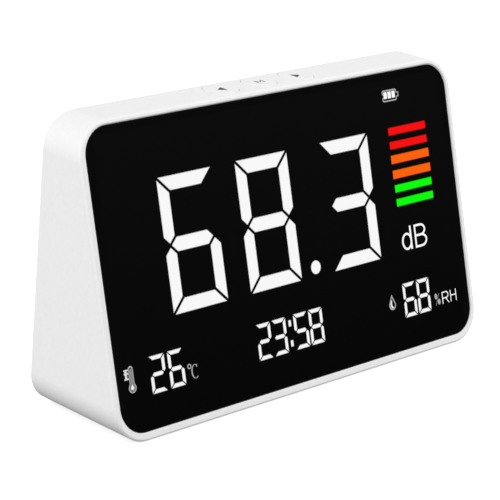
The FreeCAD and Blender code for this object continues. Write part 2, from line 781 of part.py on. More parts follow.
def plug(place, mouth, face):
    """The plug pushed up to a header's mouth."""
    x, y = place
    body = sorted((y, y + mouth * PLUG_LENGTH))
    top = face - PLUG_LIFT
    return block(x - PLUG_WIDTH / 2, x + PLUG_WIDTH / 2, body[0], body[1], top - PLUG_HEIGHT, top)


def plug_exit(place, mouth, face):
    """Where the lead leaves a plug."""
    return Vector(place[0], place[1] + mouth * PLUG_LENGTH, face - PLUG_LIFT - PLUG_HEIGHT / 2)


def headers():
    front = [header(place, mouth, BOARD_BACK) for place, mouth in DISPLAY_HEADERS.values()]
    rear = [header(place, mouth, face) for place, mouth, face in REAR_HEADERS.values()]
    return Part.makeCompound([on_front(body) for body in front] + [on_rear(body) for body in rear])


def plugs():
    front = [plug(place, mouth, BOARD_BACK) for place, mouth in DISPLAY_HEADERS.values()]
    rear = [plug(place, mouth, face) for place, mouth, face in REAR_HEADERS.values()]
    return Part.makeCompound([on_front(body) for body in front] + [on_rear(body) for body in rear])


# ---------------------------------------------------------------- leads
def lead(points):
    """A round lead of straight runs joined by tangent arcs."""
    edges = []
    start = points[0]
    for before, corner, after in zip(points, points[1:], points[2:]):
        back, ahead = before - corner, after - corner
        reach = BEND_SHARE * min(back.Length, ahead.Length)
        half_angle = back.getAngle(ahead) / 2
        enter = corner + back.normalize() * reach
        leave = corner + ahead.normalize() * reach
        radius = reach * math.tan(half_angle)
        middle = (back + ahead).normalize() * (radius / math.sin(half_angle) - radius)
        edges.append(Part.makeLine(start, enter))
        edges.append(Part.Arc(enter, corner + middle, leave).toShape())
        start = leave
    edges.append(Part.makeLine(start, points[-1]))
    ring = Part.makeCircle(LEAD_RADIUS, points[0], points[1] - points[0])
    return Part.Wire(edges).makePipeShell([Part.Wire(ring)], True, False)


def front_exit(name):
    """The exit of a plug on the display board, and a point straight out from it."""
    place, mouth = DISPLAY_HEADERS[name]
    end = plug_exit(place, mouth, BOARD_BACK)
    return [FRONT.multVec(end), FRONT.multVec(end + Vector(0, mouth * LEAD_EXIT, 0))]


def rear_exit(name):
    place, mouth, face = REAR_HEADERS[name]
    end = plug_exit(place, mouth, face)
    return [REAR.multVec(end), REAR.multVec(end + Vector(0, mouth * LEAD_EXIT, 0))]


def leads():
    battery_middle = COVER_INSIDE - BATTERY_TAPE - BATTERY_THICKNESS / 2
    lead_rise = BATTERY_RISE - BATTERY_LEAD_DROP
    battery_side = Vector(BATTERY_X + BATTERY_WIDTH / 2, lead_rise, battery_middle)
    battery_out = battery_side + Vector(LEAD_EXIT, 0, 0)
    capsule_back = COVER_INSIDE - BOOT_FLOOR - CAPSULE_LENGTH
    mic = Vector(MIC_X, MIC_RISE - MIC_PAD_DROP, capsule_back)
    mic_out = mic - Vector(0, 0, MIC_LEAD_EXIT)
    mic_down = mic_out - Vector(0, 2 * LEAD_EXIT, 0)
    key_x = BUTTON_PITCH + KEY_LEAD_OUT
    key = Vector(key_x, key_board_span()[1] - KEY_LEAD_EDGE, KEY_BOARD_LOW)
    key_out = key - Vector(0, 0, LEAD_EXIT)
    return {
        "power_lead": lead(rear_exit("power") + front_exit("power")[::-1]),
        "climate_lead": lead(rear_exit("climate") + front_exit("climate")[::-1]),
        "battery_lead": lead(
            [REAR.multVec(battery_side), REAR.multVec(battery_out)] + rear_exit("battery")[::-1]
        ),
        "microphone_lead": lead(
            [REAR.multVec(point) for point in (mic, mic_out, mic_down)] + front_exit("microphone")[::-1]
        ),
        "key_lead": lead([key, key_out] + front_exit("keys")[::-1]),
    }


# ---------------------------------------------------------------- case shell
def edges_on(shape, line):
    """Edges that lie in one of the case's sloped planes."""
    return [
        edge
        for edge in shape.Edges
        if all(abs(point.y - line(point.z)) < TOUCH for point in edge.discretize(PROBES))
    ]


def cover_bosses(grow, front, rear, inset):
    """Round posts on the cover's screw lines, trimmed to the inside of the case."""
    limits = case_form(inset, front, rear)
    return [
        y_rod(side * COVER_SCREW_X, z, COVER_BOSS_RADIUS + grow, -FAR / 2, FAR / 2).common(limits)
        for side in (-1, 1)
        for z in COVER_SCREW_ZS
    ]


def cover_screw_seats():
    """The middle of each cover screw's head seat."""
    return [
        Vector(side * COVER_SCREW_X, rear_line(COVER_RECESS)(z) - COUNTERBORE_DEPTH, z)
        for side in (-1, 1)
        for z in COVER_SCREW_ZS
    ]


def button_places():
    return {
        "previous_button": -BUTTON_PITCH,
        "mode_button": 0.0,
        "next_button": BUTTON_PITCH,
    }


def key_screw_xs():
    return [side * (BUTTON_PITCH + KEY_SCREW_OUT) for side in (-1, 1)]


def button_openings():
    """A round recess for each button's disc, and a flat-sided slot through it for its neck."""
    radius = BUTTON_RADIUS + BUTTON_GAP
    half = BUTTON_NECK_HALF + BUTTON_GAP
    slot_low = BUTTON_TAB_LOW - BUTTON_TRAVEL - BUTTON_GAP
    cuts = []
    for x in button_places().values():
        cuts.append(rod(x, BUTTON_Y, radius, BUTTON_FLOOR, TOP_Z + PAST))
        slot = rod(x, BUTTON_Y, radius, slot_low, TOP_Z)
        cuts.append(slot.common(plate_at(x, BUTTON_Y, FAR, 2 * half, slot_low, TOP_Z)))
    return cuts


def foot_places():
    x = HALF_WIDTH - FOOT_SIDE_INSET
    y = BASE_DEPTH / 2 - FOOT_END_INSET
    return [(side * x, end * y) for side in (-1, 1) for end in (-1, 1)]


def case_shell():
    outer = case_form(0, front_line(0), rear_line(0))
    outer = outer.makeFillet(FRONT_EDGE_ROUND, edges_on(outer, front_line(0)))
    outer = outer.makeFillet(REAR_EDGE_ROUND, edges_on(outer, rear_line(0)))
    bevel = panel_prism(PANEL_GAP + RIM_BEVEL, -RIM_BEVEL, CORNER_RADIUS)
    bevel = bevel.makeChamfer(RIM_BEVEL, edges_at(bevel, -RIM_BEVEL))
    hollows = [
        on_front(panel_prism(PANEL_GAP, SEAT, CORNER_RADIUS)),
        on_front(bevel),
        on_front(ledge_opening(0, LEDGE_BACK - PAST, SEAT + PAST)),
        case_form(SHELL_WALL, front_line(-LEDGE_BACK), far_behind),
        case_form(REAR_LIP, rear_line(-COVER_INSIDE), far_behind),
    ]
    shell = without(outer, hollows)
    bosses = cover_bosses(0, front_line(-SEAT), rear_line(-PAD_INSIDE), SHELL_WALL / 2)
    for x, y in display_screw_places():
        bosses.append(on_front(rod(x, y, BOARD_BOSS_RADIUS, BOARD_FRONT, LEDGE_BACK + BOSS_ROOT)))
    for x in key_screw_xs():
        bosses.append(rod(x, BUTTON_Y, KEY_BOSS_RADIUS, KEY_BOARD_TOP, CEILING_Z + BOSS_ROOT))
    shell = joined([shell] + bosses)
    cuts = button_openings()
    for seat in cover_screw_seats():
        end = seat.y - COVER_SCREW_LENGTH - PILOT_SPARE
        cuts.append(y_rod(seat.x, seat.z, COVER_SCREW.radius + SCREW_FIT, end, FAR / 2))
    display_end = BOARD_BACK + BOARD_SCREW_LENGTH + PILOT_SPARE
    for x, y in display_screw_places():
        cuts.append(on_front(screw_pilot(x, y, BOARD_SCREW, BOARD_BACK, display_end)))
    key_end = KEY_BOARD_LOW + KEY_SCREW_LENGTH + PILOT_SPARE
    for x in key_screw_xs():
        cuts.append(screw_pilot(x, BUTTON_Y, BOARD_SCREW, KEY_BOARD_LOW, key_end))
    foot_radius = FOOT_DIAMETER / 2 + FOOT_CLEARANCE
    for x, y in foot_places():
        cuts.append(rod(x, y, foot_radius, -PAST, FOOT_THICKNESS))
    return without(shell, cuts)


def rubber_feet():
    feet = []
    for x, y in foot_places():
        foot = rod(x, y, FOOT_DIAMETER / 2, 0, FOOT_THICKNESS)
        feet.append(foot.makeFillet(FOOT_EDGE_ROUND, edges_at(foot, 0)))
    return Part.makeCompound(feet)


# ---------------------------------------------------------------- rear cover and what it carries
def power_screw_places():
    return [(USB_X + side * POWER_SCREW_SPACING / 2, USB_RISE) for side in (-1, 1)]


def climate_screw_places():
    return [(VENT_X + side * CLIMATE_SCREW_SPACING / 2, VENT_RISE) for side in (-1, 1)]


def microphone_ports():
    places = [(MIC_X, MIC_RISE)]
    for step in range(MIC_PORT_COUNT):
        angle = 2 * math.pi * step / MIC_PORT_COUNT
        places.append(
            (MIC_X + MIC_PORT_CIRCLE * math.cos(angle), MIC_RISE + MIC_PORT_CIRCLE * math.sin(angle))
        )
    return [rod(x, y, MIC_PORT_RADIUS, COVER_INSIDE - PAST, PAST) for x, y in places]


def vent_slots():
    slots = []
    for step in range(VENT_COUNT):
        x = VENT_X + (step - (VENT_COUNT - 1) / 2) * VENT_PITCH
        slots.append(
            rounded_prism(
                x - VENT_WIDTH / 2,
                x + VENT_WIDTH / 2,
                VENT_RISE - VENT_LENGTH / 2,
                VENT_RISE + VENT_LENGTH / 2,
                VENT_WIDTH / 2,
                COVER_INSIDE - PAST,
                PAST,
            )
        )
    return slots


def usb_prism(grow, z0, z1):
    half_width, half_height = USB_WIDTH / 2 + grow, USB_HEIGHT / 2 + grow
    return rounded_prism(
        USB_X - half_width,
        USB_X + half_width,
        USB_RISE - half_height,
        USB_RISE + half_height,
        half_height,
        z0,
        z1,
    )


def back_cover():
    plate = case_form(REAR_LIP + COVER_GAP, rear_line(-COVER_INSIDE), rear_line(COVER_RECESS))
    plate = plate.makeChamfer(COVER_EDGE_BREAK, edges_on(plate, rear_line(COVER_RECESS)))
    overlap = COVER_INSIDE + BOSS_ROOT
    pads = cover_bosses(0, rear_line(-PAD_INSIDE), rear_line(-overlap), SHELL_WALL + COVER_GAP)
    posts = [
        rod(x, y, BOARD_BOSS_RADIUS, POWER_FACE, overlap) for x, y in power_screw_places()
    ] + [
        rod(x, y, BOARD_BOSS_RADIUS, CLIMATE_FACE, overlap) for x, y in climate_screw_places()
    ]
    boot_radius = CAPSULE_RADIUS + BOOT_FIT + BOOT_WALL
    bore = boot_radius + BOOT_FIT
    collar = rod(MIC_X, MIC_RISE, bore + COLLAR_WALL, COVER_INSIDE - COLLAR_LENGTH, overlap)
    collar = collar.cut(rod(MIC_X, MIC_RISE, bore, -FAR / 2, COVER_INSIDE))
    cover = joined([plate] + pads + [on_rear(shape) for shape in posts + [collar]])
    openings = [usb_prism(USB_CLEARANCE, COVER_INSIDE - PAST, PAST)]
    openings += microphone_ports() + vent_slots()
    for places, face in ((power_screw_places(), POWER_FACE), (climate_screw_places(), CLIMATE_FACE)):
        for x, y in places:
            openings.append(screw_pilot(x, y, BOARD_SCREW, face - PAST, face + SHORT_SCREW_LENGTH))
    cuts = [on_rear(shape) for shape in openings]
    hole = COVER_SCREW.radius + SCREW_HOLE_CLEARANCE
    counterbore = COVER_SCREW.head_radius + COUNTERBORE_CLEARANCE
    for seat in cover_screw_seats():
        cuts.append(y_rod(seat.x, seat.z, hole, -FAR / 2, FAR / 2))
        cuts.append(y_rod(seat.x, seat.z, counterbore, seat.y, FAR / 2))
    return without(cover, cuts)


def cover_screws():
    screws = []
    for seat in cover_screw_seats():
        body = screw(0, 0, COVER_SCREW, COVER_SCREW_LENGTH, 0, 1)
        body.rotate(Vector(0, 0, 0), Vector(1, 0, 0), -90)
        body.translate(seat)
        screws.append(body)
    return Part.makeCompound(screws)


def carried_board(x, y, size, thickness, face, screw_places):
    board = plate_at(x, y, size[0], size[1], face - thickness, face)
    low, high = face - thickness - PAST, face + PAST
    return on_rear(
        without(board, [screw_hole(px, py, BOARD_SCREW, low, high) for px, py in screw_places])
    )


def cover_board_screws():
    seats = [(x, y, POWER_BACK) for x, y in power_screw_places()]
    seats += [(x, y, CLIMATE_BACK) for x, y in climate_screw_places()]
    screws = [screw(x, y, BOARD_SCREW, SHORT_SCREW_LENGTH, seat, -1) for x, y, seat in seats]
    return on_rear(Part.makeCompound(screws))


def usb_socket_shell():
    mouth = COVER_OUTSIDE - USB_SETBACK
    shell = usb_prism(0, POWER_FACE, mouth)
    return on_rear(shell.cut(usb_prism(-USB_WALL, POWER_FACE - PAST, mouth + PAST)))


def usb_socket_tongue():
    """The insulating base inside the metal shell, with the contact tongue on it."""
    end = COVER_OUTSIDE - USB_SETBACK - USB_TONGUE_SETBACK
    base = usb_prism(-USB_WALL - SCREW_FIT, POWER_FACE, POWER_FACE + USB_BASE)
    tongue = plate_at(USB_X, USB_RISE, USB_TONGUE_WIDTH, USB_TONGUE_THICKNESS, POWER_FACE, end)
    return on_rear(joined([base, tongue]))


def power_chips():
    chips = [
        plate_at(USB_X + x, USB_RISE + y, width, height, POWER_BACK - thickness, POWER_BACK)
        for x, y, width, height, thickness in POWER_CHIPS
    ]
    return on_rear(Part.makeCompound(chips))


def climate_sensor():
    top = CLIMATE_FACE + SENSOR_HEIGHT
    body = plate_at(VENT_X, VENT_RISE, SENSOR_SIZE, SENSOR_SIZE, CLIMATE_FACE, top)
    port = rod(VENT_X, VENT_RISE, SENSOR_PORT_RADIUS, top - SENSOR_HEIGHT / 2, top + PAST)
    return on_rear(body.cut(port))


def battery_cell():
    half_width, half_height = BATTERY_WIDTH / 2, BATTERY_HEIGHT / 2
    top = COVER_INSIDE - BATTERY_TAPE
    return on_rear(
        rounded_prism(
            BATTERY_X - half_width,
            BATTERY_X + half_width,
            BATTERY_RISE - half_height,
            BATTERY_RISE + half_height,
            BATTERY_ROUND,
            top - BATTERY_THICKNESS,
            top,
        )
    )


def battery_tape():
    return on_rear(
        plate_at(
            BATTERY_X,
            BATTERY_RISE,
            BATTERY_WIDTH - 2 * BATTERY_TAPE_INSET,
            BATTERY_HEIGHT - 2 * BATTERY_TAPE_INSET,
            COVER_INSIDE - BATTERY_TAPE,
            COVER_INSIDE,
        )
    )


def microphone_boot():
    outer = CAPSULE_RADIUS + BOOT_FIT + BOOT_WALL
    back = COVER_INSIDE - BOOT_FLOOR - CAPSULE_LENGTH
    body = rod(MIC_X, MIC_RISE, outer, back, COVER_INSIDE)
    floor = COVER_INSIDE - BOOT_FLOOR
    bore = rod(MIC_X, MIC_RISE, CAPSULE_RADIUS + BOOT_FIT, back - PAST, floor)
    mouth = rod(MIC_X, MIC_RISE, MIC_PORT_CIRCLE + 2 * MIC_PORT_RADIUS, back - PAST, PAST)
    return on_rear(without(body, [bore, mouth]))


def microphone_capsule():
    back = COVER_INSIDE - BOOT_FLOOR - CAPSULE_LENGTH
    return on_rear(rod(MIC_X, MIC_RISE, CAPSULE_RADIUS, back, COVER_INSIDE - BOOT_FLOOR))


# ---------------------------------------------------------------- buttons and their board
def button_cap(x):
    disc_low = BUTTON_TOP - BUTTON_DISC
    disc = rod(x, BUTTON_Y, BUTTON_RADIUS, disc_low, BUTTON_TOP)
    disc = disc.makeFillet(BUTTON_EDGE_ROUND, edges_at(disc, BUTTON_TOP))
    neck = rod(x, BUTTON_Y, BUTTON_RADIUS, BUTTON_TAB_TOP, disc_low)
    neck = neck.common(plate_at(x, BUTTON_Y, FAR, 2 * BUTTON_NECK_HALF, BUTTON_TAB_TOP, disc_low))
    tab_length = 2 * (BUTTON_RADIUS + BUTTON_TAB_REACH)
    tab = plate_at(x, BUTTON_Y, tab_length, 2 * BUTTON_TAB_HALF, BUTTON_TAB_LOW, BUTTON_TAB_TOP)
    return joined([disc, neck, tab])


def switch_plunger(x):
    return rod(x, BUTTON_Y, PLUNGER_RADIUS, PLUNGER_LOW, PLUNGER_TOP)


def switch_bodies():
    bodies = []
    for x in button_places().values():
        top = KEY_BOARD_TOP + SWITCH_HEIGHT
        body = plate_at(x, BUTTON_Y, SWITCH_SIZE, SWITCH_SIZE, KEY_BOARD_TOP, top)
        leg_span = SWITCH_SIZE + 2 * SWITCH_LEG
        leg_top = KEY_BOARD_TOP + SWITCH_LEG_THICKNESS
        legs = plate_at(x, BUTTON_Y, leg_span, SWITCH_SIZE / 2, KEY_BOARD_TOP, leg_top)
        bore_low = PLUNGER_LOW - BUTTON_TRAVEL - BUTTON_PLAY
        bore = rod(x, BUTTON_Y, PLUNGER_RADIUS + PLUNGER_CLEARANCE, bore_low, top + PAST)
        bodies.append(joined([body, legs]).cut(bore))
    return Part.makeCompound(bodies)


def key_board():
    half = BUTTON_PITCH + KEY_BOARD_END
    board = block(-half, half, *key_board_span(), KEY_BOARD_LOW, KEY_BOARD_TOP)
    low, high = KEY_BOARD_LOW - PAST, KEY_BOARD_TOP + PAST
    return without(board, [screw_hole(x, BUTTON_Y, BOARD_SCREW, low, high) for x in key_screw_xs()])


def key_screws():
    return Part.makeCompound(
        [
            screw(x, BUTTON_Y, BOARD_SCREW, KEY_SCREW_LENGTH, KEY_BOARD_LOW, -1)
            for x in key_screw_xs()
        ]
    )


# ---------------------------------------------------------------- all pieces
def all_pieces():
    pieces = {
        "case_shell": case_shell(),
        "rubber_feet": rubber_feet(),
        "front_panel": front_panel(),
        "panel_tape": panel_tape(),
        "reflector_housing": reflector_housing(),
        "display_board": display_board(),
        "display_screws": display_screws(),
        "display_leds": display_leds(),
        "display_chips": display_chips(),
        "board_headers": headers(),
        "lead_plugs": plugs(),
        "back_cover": back_cover(),
        "cover_screws": cover_screws(),
        "power_board": carried_board(
            USB_X, USB_RISE, POWER_BOARD, POWER_BOARD_THICKNESS, POWER_FACE, power_screw_places()
        ),
        "power_chips": power_chips(),
        "usb_socket_shell": usb_socket_shell(),
        "usb_socket_tongue": usb_socket_tongue(),
        "climate_board": carried_board(
            VENT_X, VENT_RISE, CLIMATE_BOARD, CLIMATE_BOARD_THICKNESS, CLIMATE_FACE,
            climate_screw_places(),
        ),
        "climate_sensor": climate_sensor(),
        "cover_board_screws": cover_board_screws(),
        "battery_cell": battery_cell(),
        "battery_tape": battery_tape(),
        "microphone_boot": microphone_boot(),
        "microphone_capsule": microphone_capsule(),
        "key_board": key_board(),
        "key_screws": key_screws(),
        "switch_bodies": switch_bodies(),
    }
    pieces.update(diffusers())
    pieces.update(leads())
    for name, x in button_places().items():
        pieces[name] = button_cap(x)
        pieces[name.replace("button", "switch_plunger")] = switch_plunger(x)
    return pieces


def main():
    os.makedirs("parts", exist_ok=True)
    for name, shape in all_pieces().items():
        shape.exportStep(f"parts/{name}.step")
        print(f"{name}: {len(shape.Solids)} solids, {shape.Volume:.1f} mm3, valid {shape.isValid()}")


main()
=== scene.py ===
import json
import math

import bmesh
import bpy
from mathutils import Matrix, Vector


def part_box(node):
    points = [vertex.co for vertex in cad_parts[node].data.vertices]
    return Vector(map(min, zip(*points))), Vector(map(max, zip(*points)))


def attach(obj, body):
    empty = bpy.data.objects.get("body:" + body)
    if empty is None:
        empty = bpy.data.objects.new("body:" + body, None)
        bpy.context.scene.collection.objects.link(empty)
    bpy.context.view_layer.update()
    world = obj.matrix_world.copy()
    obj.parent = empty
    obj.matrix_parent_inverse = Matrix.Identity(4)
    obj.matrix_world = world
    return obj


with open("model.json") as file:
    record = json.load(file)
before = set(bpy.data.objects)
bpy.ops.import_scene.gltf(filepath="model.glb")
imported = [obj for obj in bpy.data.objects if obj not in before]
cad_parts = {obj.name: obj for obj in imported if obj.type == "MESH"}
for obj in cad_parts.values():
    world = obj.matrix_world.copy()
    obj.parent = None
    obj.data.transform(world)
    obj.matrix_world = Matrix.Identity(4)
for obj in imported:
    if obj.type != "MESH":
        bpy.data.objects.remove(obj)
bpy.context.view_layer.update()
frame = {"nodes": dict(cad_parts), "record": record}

MM = 0.001

# ---------------------------------------------------------------- the sloped front
FRONT_LEAN = math.radians(15.2)
HALF_BASE_DEPTH = 19.984 * MM
BASE_RISE = 0.4 * MM                     # base of the case above the floor
PANEL_RECESS = 0.25 * MM

ACROSS = Vector((1, 0, 0))
UP_SLOPE = Vector((0, math.sin(FRONT_LEAN), math.cos(FRONT_LEAN)))
OUT = Vector((0, -math.cos(FRONT_LEAN), math.sin(FRONT_LEAN)))
PANEL_ORIGIN = Vector((0, -HALF_BASE_DEPTH, BASE_RISE)) - PANEL_RECESS * OUT
PANEL_FRAME = Matrix.Translation(PANEL_ORIGIN) @ Matrix((ACROSS, UP_SLOPE, OUT)).transposed().to_4x4()

DISPLAY_HALF_WIDTH = 70 * MM
DISPLAY_LOW = 3 * MM                     # heights above the floor
DISPLAY_HIGH = 82.6 * MM
PANEL_SPECULAR = 0.12
PANEL_ROUGHNESS = (0.08, 0.12)
PANEL_DUST = 2500.0                      # specks to the metre
PANEL_DUST_DETAIL = 3.0
# the display's smoked tone at its foot and top, with a painted sheen that lightens it towards the top
DISPLAY_LOW_TONE_AND_SHADE = (0.0022, 0.0022, 0.0023)
DISPLAY_HIGH_TONE_AND_SHEEN = (0.0038, 0.0038, 0.0039)
PANEL_BORDER_COLOUR = (0.003, 0.003, 0.0031)

# ---------------------------------------------------------------- grain of the surfaces
COLOUR_SPAN = (0.35, 0.65)               # noise that gives the darkest and the lightest colour
BROAD_GRAIN = 12                         # size of the grain in colour against that in gloss
BROAD_DETAIL = 2.0
FINE_DETAIL = 4.0
BUMP_STRENGTH = 0.5

# ---------------------------------------------------------------- lit segments
DIFFUSER_SPECULAR = 0.06
DIFFUSER_GRAIN = 900.0                   # grains to the metre
DIFFUSER_ROUGHNESS = (0.3, 0.38)
DIFFUSER_SHADE = 0.92                    # darkest grain against the lightest
GLOW = 1.0
CELL_EDGE = 0.42 * MM                    # strip beside a light cell's wall where its light falls off
CELL_EDGE_LIGHT = 0.0                    # share of the light at the very edge
CELL_EDGE_SAMPLES = 8
CELL_EDGE_FACING = math.cos(math.radians(45))  # cosine of the rounded normal's turn at the very edge

# ---------------------------------------------------------------- printed and lit signs
SIGN_BELOW = 0.06                        # mm that a sign reaches into what carries it
SIGN_PROUD = 0.02                        # mm that it stands out
WELD_DISTANCE = 1e-7
CURVE_STEPS = 24
BATTERY_CELLS = 3
THERMOMETER_X = -67.69

# ---------------------------------------------------------------- camera
CAMERA_PLACE = Vector((-443.556, -429.615, 243.787)) * MM
CAMERA_RIGHT = Vector((0.71623, -0.695442, 0.058103))
CAMERA_FORWARD = Vector((0.673778, 0.667423, -0.317127))
LENS = 159.064
SENSOR = 36.0
CLIP_START = 0.01
CLIP_END = 20

# ---------------------------------------------------------------- light
SKY_STRENGTH = 0.85
SKY_HORIZON = 1.0                        # share of it at the horizon and above
SKY_LOW = 0.5                            # share of it 24 degrees below the horizon
SKY_BELOW = 0.0                          # share of it 40 degrees below the horizon and lower
SKY_HORIZON_AT = 0.5                     # heights of the shares, 0 straight below and 1 overhead
SKY_LOW_AT = 0.3
SKY_BELOW_AT = 0.18
FLAG_STRENGTH = 0.02
FLAG_DIRECTION = Vector((0.64, -0.76, 0.06)).normalized()
FLAG_INNER = math.radians(14)
FLAG_OUTER = math.radians(32)
KEY_PLACE = Vector((-0.9, 0.1, 0.2))
KEY_AIM = Vector((-0.05, 0, 0.05))
KEY_SIZE = 0.3
KEY_POWER = 3.15
FILL_PLACE = Vector((0.8, -1.1, 0.72))
FILL_AIM = Vector((0, 0, 0.04))
FILL_SIZE = 0.5
FILL_POWER = 10.8
FLOOR_GLOW = 0.6
FLOOR_RADIUS = 1.6
FLOOR_SIDES = 96


# ---------------------------------------------------------------- materials
def grey(level):
    return (level, level, level)


def new_material(name, specular, metallic=0.0):
    material = bpy.data.materials.new(name)
    material.use_nodes = True
    shader = material.node_tree.nodes["Principled BSDF"]
    shader.inputs["Metallic"].default_value = metallic
    shader.inputs["Specular IOR Level"].default_value = specular
    return material, shader


def add(material, kind, **values):
    node = material.node_tree.nodes.new(kind)
    for name, value in values.items():
        setattr(node, name, value)
    return node


def join(material, output, target):
    material.node_tree.links.new(output, target)


def object_noise(material, scale, detail):
    """Noise in the object's own metres, with `scale` features to the metre."""
    coordinates = add(material, "ShaderNodeTexCoord")
    noise = add(material, "ShaderNodeTexNoise")
    noise.inputs["Scale"].default_value = scale
    noise.inputs["Detail"].default_value = detail
    join(material, coordinates.outputs["Object"], noise.inputs["Vector"])
    return noise.outputs["Fac"]


def colour_between(material, shader, factor, dark, light):
    ramp = add(material, "ShaderNodeValToRGB")
    for element, place, colour in zip(ramp.color_ramp.elements, COLOUR_SPAN, (dark, light)):
        element.position = place
        element.color = (*colour, 1)
    join(material, factor, ramp.inputs["Fac"])
    join(material, ramp.outputs["Color"], shader.inputs["Base Color"])


def roughness_between(material, shader, factor, low, high):
    span = add(material, "ShaderNodeMapRange")
    span.inputs["To Min"].default_value = low
    span.inputs["To Max"].default_value = high
    join(material, factor, span.inputs["Value"])
    join(material, span.outputs["Result"], shader.inputs["Roughness"])


def bump(material, shader, factor, depth):
    node = add(material, "ShaderNodeBump")
    node.inputs["Distance"].default_value = depth
    node.inputs["Strength"].default_value = BUMP_STRENGTH
    join(material, factor, node.inputs["Height"])
    join(material, node.outputs["Normal"], shader.inputs["Normal"])


def grained(name, dark, light, rough, grain, depth, metallic=0.0, specular=0.5):
    """A surface whose colour, gloss and height vary: `grain` to the metre and `depth` in metres."""
    material, shader = new_material(name, specular, metallic)
    broad = object_noise(material, grain / BROAD_GRAIN, BROAD_DETAIL)
    fine = object_noise(material, grain, FINE_DETAIL)
    colour_between(material, shader, broad, dark, light)
    roughness_between(material, shader, fine, *rough)
    bump(material, shader, fine, depth)
    return material


def lit(name, colour, base):
    """A milky diffuser with a lamp behind it."""
    material, shader = new_material(name, DIFFUSER_SPECULAR)
    shader.inputs["Emission Color"].default_value = (*colour, 1)
    shader.inputs["Emission Strength"].default_value = GLOW
    factor = object_noise(material, DIFFUSER_GRAIN, BROAD_DETAIL)
    colour_between(material, shader, factor, [DIFFUSER_SHADE * value for value in base], base)
    roughness_between(material, shader, factor, *DIFFUSER_ROUGHNESS)
    return material


def dim_edges(material):
    """Less light beside the walls of a lit segment's cell than in its middle."""
    shader = material.node_tree.nodes["Principled BSDF"]
    rounded = add(material, "ShaderNodeBevel", samples=CELL_EDGE_SAMPLES)
    rounded.inputs["Radius"].default_value = CELL_EDGE
    face = add(material, "ShaderNodeNewGeometry")
    facing = add(material, "ShaderNodeVectorMath", operation="DOT_PRODUCT")
    join(material, rounded.outputs["Normal"], facing.inputs[0])
    join(material, face.outputs["True Normal"], facing.inputs[1])
    light = add(material, "ShaderNodeMapRange")
    light.inputs["From Min"].default_value = CELL_EDGE_FACING
    light.inputs["To Min"].default_value = CELL_EDGE_LIGHT * GLOW
    light.inputs["To Max"].default_value = GLOW
    join(material, facing.outputs["Value"], light.inputs["Value"])
    join(material, light.outputs["Result"], shader.inputs["Emission Strength"])


def segment(name, colour, base):
    """The lit diffuser of a display segment."""
    material = lit(name, colour, base)
    dim_edges(material)
    return material


def gloss_panel():
    """Black acrylic with a printed border: the display goes from a shade darker than the border up to
    a shade lighter, and this rise towards its top is a painted sheen.
    """
    material, shader = new_material("black_acrylic", PANEL_SPECULAR)
    place = add(material, "ShaderNodeTexCoord")
    axes = add(material, "ShaderNodeSeparateXYZ")
    join(material, place.outputs["Object"], axes.inputs["Vector"])
    height = add(material, "ShaderNodeMapRange")
    height.inputs["From Min"].default_value = DISPLAY_LOW
    height.inputs["From Max"].default_value = DISPLAY_HIGH
    join(material, axes.outputs["Z"], height.inputs["Value"])
    # painted sheen: the display's colour lightens from its foot to its top
    shade = add(material, "ShaderNodeValToRGB")
    shade.color_ramp.elements[0].color = (*DISPLAY_LOW_TONE_AND_SHADE, 1)
    shade.color_ramp.elements[1].color = (*DISPLAY_HIGH_TONE_AND_SHEEN, 1)
    join(material, height.outputs["Result"], shade.inputs["Fac"])
    side = add(material, "ShaderNodeMath", operation="ABSOLUTE")
    join(material, axes.outputs["X"], side.inputs[0])
    beside = add(material, "ShaderNodeMath", operation="LESS_THAN")
    beside.inputs[1].default_value = DISPLAY_HALF_WIDTH
    join(material, side.outputs["Value"], beside.inputs[0])
    below = add(material, "ShaderNodeMath", operation="LESS_THAN")
    below.inputs[1].default_value = DISPLAY_HIGH
    join(material, axes.outputs["Z"], below.inputs[0])
    display = add(material, "ShaderNodeMath", operation="MULTIPLY")
    join(material, beside.outputs["Value"], display.inputs[0])
    join(material, below.outputs["Value"], display.inputs[1])
    mix = add(material, "ShaderNodeMix", data_type="RGBA")
    mix.inputs["A"].default_value = (*PANEL_BORDER_COLOUR, 1)
    join(material, display.outputs["Value"], mix.inputs["Factor"])
    join(material, shade.outputs["Color"], mix.inputs["B"])
    join(material, mix.outputs["Result"], shader.inputs["Base Color"])
    dust = object_noise(material, PANEL_DUST, PANEL_DUST_DETAIL)
    roughness_between(material, shader, dust, *PANEL_ROUGHNESS)
    return material


